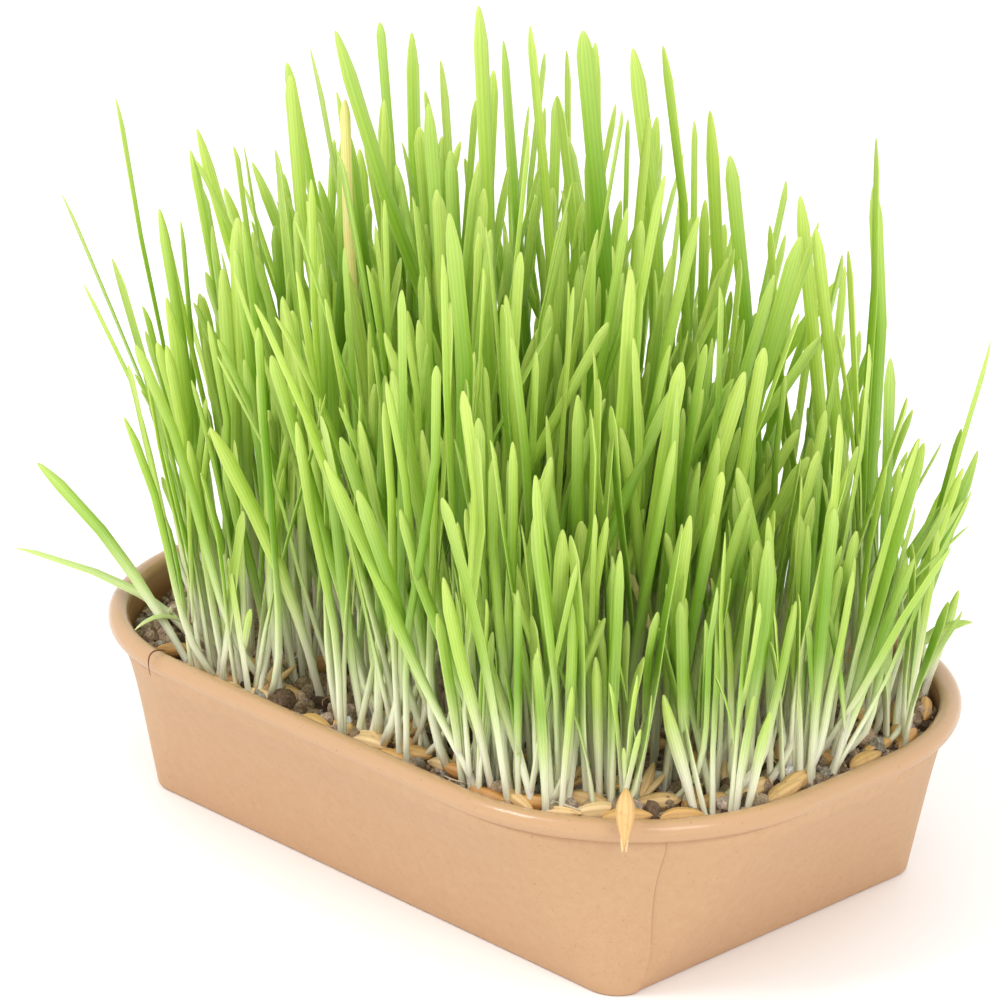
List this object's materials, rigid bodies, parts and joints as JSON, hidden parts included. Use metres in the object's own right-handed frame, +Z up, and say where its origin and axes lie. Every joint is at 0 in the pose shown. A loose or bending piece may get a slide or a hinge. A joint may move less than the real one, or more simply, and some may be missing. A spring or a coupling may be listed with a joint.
{
  "type": "wheatgrass tray",
  "caption": "Flared rectangular board tray with a rolled rim, filled with growing medium, with a dense sward of upright young grass rising from a mat of sprouted grain.",
  "frame": {"origin": "on the surface that the tray stands on, at the centre of the tray's footprint, which is also the centre of the grass's reach", "axes": "+X along the tray's long side, +Y along its short side towards the back, +Z up; the overlap seam is near the +X, -Y corner"},
  "size_m": [0.196, 0.136, 0.1604],
  "materials": {
    "kraft_board": "satin",
    "kraft_board_inside": "matte",
    "growing_medium": "matte",
    "young_grass": "satin"
  },
  "bodies": {
    "root": {"tray_sleeve": "kraft_board", "tray_base": "kraft_board_inside", "growing_medium": "growing_medium", "grass_sward": "young_grass"}
  },
  "joints": []
}
